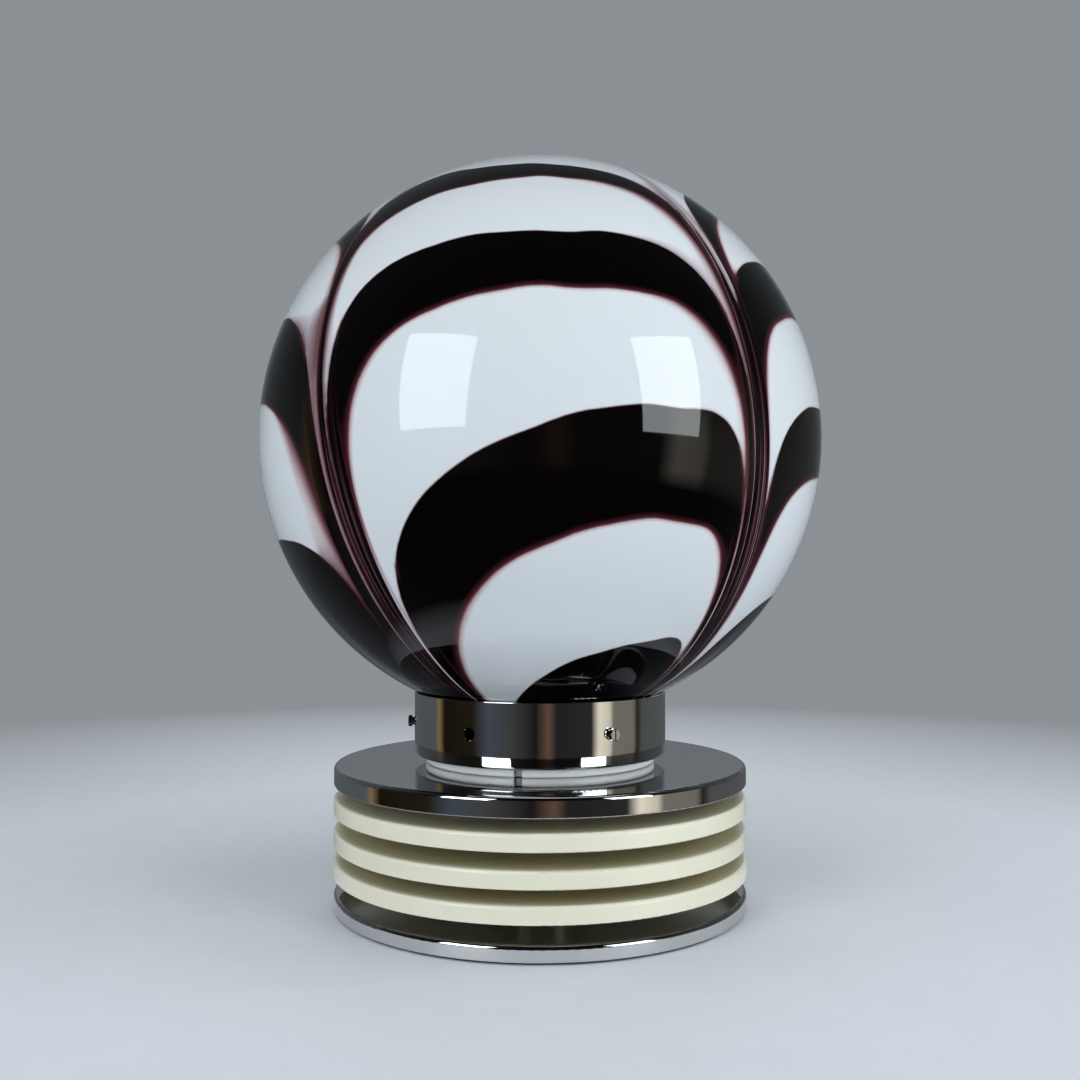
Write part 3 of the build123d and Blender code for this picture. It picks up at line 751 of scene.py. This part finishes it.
strand_place = place(tree, "ShaderNodeCombineXYZ", {"X": side, "Y": strand_along}).outputs["Vector"]
strands = place(tree, "ShaderNodeTexNoise",
                {"Vector": strand_place, "Scale": strand_scale, "Detail": strand_detail}).outputs["Fac"]
rope = colour_steps(tree, strands, rope_colours)
near_comb = spread(tree, across, *rope_fade)
inside_band = spread(tree, edge_depth, *rope_depth)
rope_share = reckon(tree, "MULTIPLY", near_comb, inside_band)
tree.links.new(blend(tree, rope_share, banded, rope), shader.inputs["Base Color"])
globe_marks = marks(tree, 1.0)
roughen(tree, shader, globe_marks["Haze"], full_range, globe_roughness)

globe = put_piece("combed_globe", globe_points, globe_faces, "globe", "opal_glass", opal_material, "globe")
for name, values in zip(globe_attributes, globe_values):
    ends = np.array([values[0].mean(), values[-1].mean()])
    attribute = globe.data.attributes.new(name, "FLOAT", "POINT")
    attribute.data.foreach_set("value", np.concatenate((values.ravel(), ends)))


# Stage. A plain pale floor that fades into the backdrop, two soft boxes in front that gloss mirrors, and
# wide dim lamps above and all round that it doesn't. The room is darkest in front, with some tall dark and
# bright things low down that polished metal picks up.
floor_size = 3.0
floor_colour = (0.74, 0.76, 0.80)
floor_patch_size = 0.02
floor_patch_tone = 0.97
floor_edge = (0.15, 0.20)
backdrop_edge = (0.40, 1.00)
backdrop = (0.26, 0.28, 0.30)
box_colour = (0.90, 0.96, 1.0)
soft_boxes = [("left_box", (-1.05, -1.30, 0.714), (0.80, 1.00), 4.8, True),
              ("right_box", (1.26, -1.106, 0.674), (0.72, 1.00), 4.8, True),
              ("top_box", (0.0, -0.60, 1.90), (2.40, 2.00), 1.2, False),
              ("left_fill", (-1.60, 0.10, 0.70), (1.20, 1.20), 1.4, False),
              ("right_fill", (1.60, 0.00, 0.60), (1.20, 1.20), 2.9, False),
              ("back_fill", (0.0, 1.60, 0.55), (1.60, 1.00), 2.4, False),
              ("low_fill", (0.0, -1.60, 0.14), (1.80, 0.24), 2.2, False)]
room_colours = [(0.0, (0.002, 0.002, 0.002)), (0.35, (0.008, 0.008, 0.008)), (0.55, (0.03, 0.032, 0.035)),
                (0.90, (0.09, 0.10, 0.11)), (0.96, (0.22, 0.24, 0.26)), (1.0, backdrop)]
low_room_start = (-19, -13)
low_room_end = (20, -2)
low_room_colours = [(0.0, (0.10, 0.11, 0.12)), (0.20, (0.095, 0.11, 0.12)), (0.215, (0.26, 0.18, 0.09)),
                    (0.235, (0.012, 0.009, 0.004)), (0.33, (0.02, 0.015, 0.008)),
                    (0.37, (0.07, 0.085, 0.105)), (0.43, (0.06, 0.062, 0.058)),
                    (0.49, (0.012, 0.012, 0.012)), (0.52, (0.15, 0.085, 0.06)),
                    (0.54, (0.02, 0.02, 0.022)), (0.63, (0.03, 0.03, 0.03)), (0.65, (1.0, 0.93, 0.76)),
                    (0.68, (0.75, 0.69, 0.56)), (0.69, (0.22, 0.21, 0.175)), (0.755, (0.20, 0.19, 0.16)),
                    (0.77, (0.02, 0.016, 0.01)), (0.79, (0.095, 0.10, 0.10)), (1.0, (0.10, 0.11, 0.12))]


def mix_shaders(tree, share, first, second):
    """Shader that goes from the first to the second as share goes from 0 to 1."""
    return place(tree, "ShaderNodeMixShader", {0: share, 1: first, 2: second}).outputs["Shader"]


floor_corners = np.array([(-1, -1, 0), (1, -1, 0), (1, 1, 0), (-1, 1, 0)]) * floor_size
floor_mesh = bpy.data.meshes.new("floor")
floor_mesh.from_pydata(floor_corners.tolist(), [], [(0, 1, 2, 3)])
floor = bpy.data.objects.new("floor", floor_mesh)
bpy.context.scene.collection.objects.link(floor)
floor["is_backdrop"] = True
floor_material, tree, shader, where = finish("pale_floor", roughness=0.6)
floor_patch_colour = tuple(floor_patch_tone * channel for channel in floor_colour)
tint(tree, shader, speckle(tree, where, floor_patch_size), [(0.3, floor_colour), (0.7, floor_patch_colour)])
away = place(tree, "ShaderNodeVectorMath", {0: where}, operation="LENGTH").outputs["Value"]
ray = place(tree, "ShaderNodeLightPath").outputs
plain_floor = shader.outputs["BSDF"]
backdrop_glow = place(tree, "ShaderNodeEmission", {"Color": (*backdrop, 1)}).outputs["Emission"]
nothing = place(tree, "ShaderNodeBsdfTransparent").outputs["BSDF"]
seen_floor = mix_shaders(tree, spread(tree, away, *backdrop_edge), plain_floor, backdrop_glow)
mirrored_floor = mix_shaders(tree, spread(tree, away, *floor_edge), plain_floor, nothing)
unseen_floor = mix_shaders(tree, ray["Is Glossy Ray"], plain_floor, mirrored_floor)
whole_floor = mix_shaders(tree, ray["Is Camera Ray"], unseen_floor, seen_floor)
tree.links.new(whole_floor, tree.nodes["Material Output"].inputs["Surface"])
floor_mesh.materials.append(floor_material)

world = bpy.data.worlds.new("room")
bpy.context.scene.world = world
world.use_nodes = True
tree = world.node_tree
looking = place(tree, "ShaderNodeTexCoord").outputs["Generated"]
direction = place(tree, "ShaderNodeSeparateXYZ", {"Vector": looking}).outputs
forward = reckon(tree, "MULTIPLY", direction["Y"], -1.0)
round_turn = reckon(tree, "ARCTAN2", direction["X"], forward)
height_angle = reckon(tree, "ARCSINE", direction["Z"])
room = colour_steps(tree, spread(tree, forward, 1.0, -1.0), room_colours)
low_room = colour_steps(tree, spread(tree, round_turn, -pi, pi), low_room_colours)
above = spread(tree, height_angle, *(radians(edge) for edge in low_room_start))
below = spread(tree, height_angle, *(radians(edge) for edge in low_room_end))
around = blend(tree, reckon(tree, "MULTIPLY", above, below), room, low_room)
seen = blend(tree, place(tree, "ShaderNodeLightPath").outputs["Is Camera Ray"], around, (*backdrop, 1))
tree.links.new(seen, tree.nodes["Background"].inputs["Color"])

# The boxes face a point at half the lamp's height, a little right of and behind its axis.
box_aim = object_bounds()[1] * 0.5
for name, spot, (width, height), brightness, mirrored in soft_boxes:
    lamp = bpy.data.lights.new(name, "AREA")
    lamp.shape = "RECTANGLE"
    lamp.size, lamp.size_y = width, height
    lamp.color = box_colour
    lamp.energy = brightness * pi * width * height
    box = bpy.data.objects.new(name, lamp)
    box.location = spot
    box.visible_glossy = mirrored
    box.rotation_euler = (box_aim - box.location).to_track_quat("-Z", "Y").to_euler()
    bpy.context.scene.collection.objects.link(box)


# Camera. Close to the lamp and level with the lower half of the globe, looking a little up.
# Its place, tilt and lens were fitted to the photograph.
camera_place = (0, -0.623, 0.1700)
camera_tilt = 92.18
camera_sensor = 36.0
camera_lens = 38.0

camera = bpy.data.objects.new("camera", bpy.data.cameras.new("camera"))
camera.data.sensor_width = camera_sensor
camera.data.lens = camera_lens
camera.location = camera_place
camera.rotation_euler = (radians(camera_tilt), 0, 0)
bpy.context.scene.collection.objects.link(camera)
bpy.context.scene.camera = camera
bpy.context.scene.view_settings.view_transform = "Standard"
